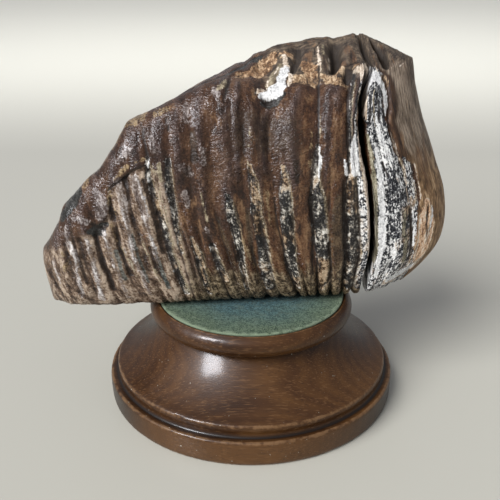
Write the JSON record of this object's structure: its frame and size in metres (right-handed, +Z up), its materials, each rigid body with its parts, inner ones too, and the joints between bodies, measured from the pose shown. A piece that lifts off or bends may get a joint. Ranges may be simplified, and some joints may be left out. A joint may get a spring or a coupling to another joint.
{
  "type": "fossil mammoth tooth",
  "caption": "Wedge-shaped fossil mammoth cheek tooth with ridged enamel plates and an open split, resting on a felt-topped turned wooden stand.",
  "frame": {"origin": "middle of the stand's underside, on the surface it stands on", "axes": "+X along the tooth from its low end to its tall end, -Y out of the flank that faces the viewer, +Z up"},
  "size_m": [0.218, 0.16, 0.191],
  "materials": {
    "stand_wood": "varnished brown hardwood, rubbed at the edges",
    "baize": "teal-green baize with a fuzzy cut edge",
    "fossil_tooth": "brown cementum with black, cream and white enamel bands, sealed to a soft shine"
  },
  "bodies": {
    "root": {"turned_stand": "stand_wood", "felt_pad": "baize", "mammoth_tooth": "fossil_tooth"}
  },
  "joints": []
}
